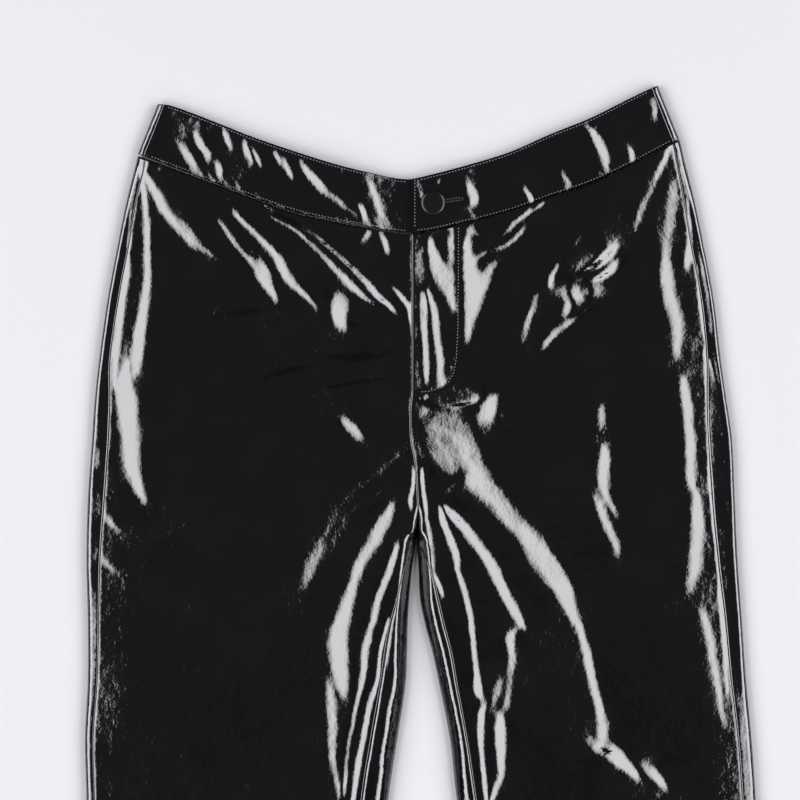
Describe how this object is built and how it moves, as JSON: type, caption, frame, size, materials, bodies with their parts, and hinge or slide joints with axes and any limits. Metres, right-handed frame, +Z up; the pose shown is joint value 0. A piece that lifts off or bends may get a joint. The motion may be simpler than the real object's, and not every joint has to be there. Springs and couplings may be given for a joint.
{
  "type": "leather trousers",
  "caption": "Black patent leather trousers laid flat with the front up: contoured waistband with a cap button, fly, side seams, inseams and turned hems.",
  "frame": {"origin": "on the surface that the trousers lie on, under the middle of their box", "axes": "+Y along the garment towards the waist, +X across it to the right as seen from the front, +Z up out of the front"},
  "size_m": [0.526, 1.0156, 0.0161],
  "materials": {
    "patent_leather": "high-gloss black coating",
    "button_cap": "satin black"
  },
  "bodies": {
    "root": {"front_left": "patent_leather", "front_right": "patent_leather", "back_left": "patent_leather", "back_right": "patent_leather", "waistband_front_left": "patent_leather", "waistband_front_right": "patent_leather", "waistband_back": "patent_leather", "fly_underlap": "patent_leather", "hem_left": "patent_leather", "hem_right": "patent_leather", "button": "button_cap"}
  },
  "joints": []
}
